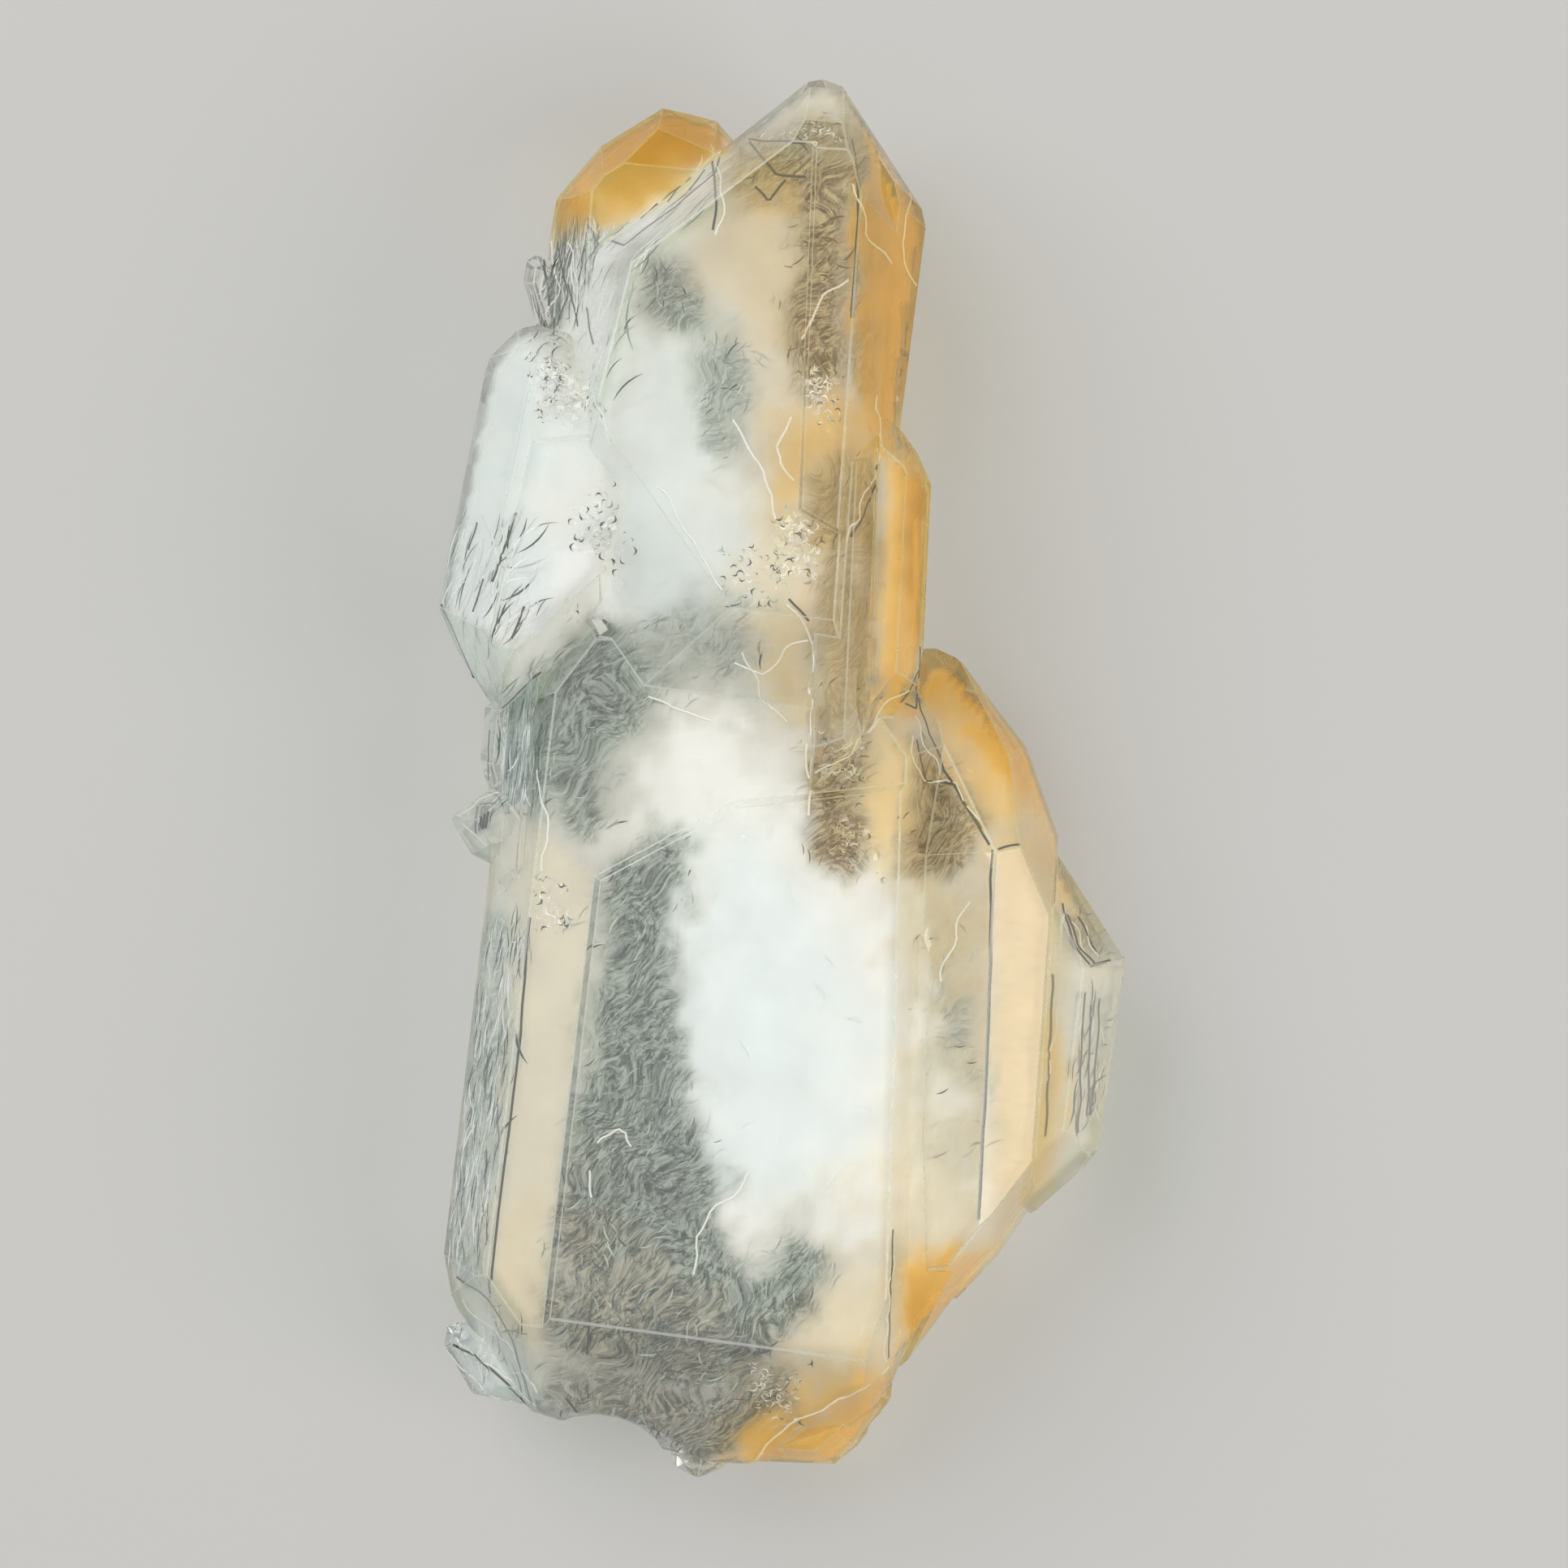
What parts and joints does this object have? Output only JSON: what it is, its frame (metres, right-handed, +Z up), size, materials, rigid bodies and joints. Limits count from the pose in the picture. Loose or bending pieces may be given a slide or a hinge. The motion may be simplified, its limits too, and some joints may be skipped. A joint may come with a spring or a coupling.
{
  "type": "faden quartz crystal",
  "caption": "Flat cluster of clear quartz crystals grown side by side along a milky thread, with pointed tips and a broken lower end; lies on its back.",
  "frame": {"origin": "centre of the bounding box, on the surface that the cluster lies on", "axes": "+Y along the crystals towards the highest point, +Z up from the resting back to the broad front"},
  "size_m": [0.0254, 0.0518, 0.0111],
  "materials": {
    "quartz": "natural crystal faces, glossy, with a milky cloud and iron stain inside"
  },
  "bodies": {
    "root": {"faden_quartz": "quartz"}
  },
  "joints": []
}
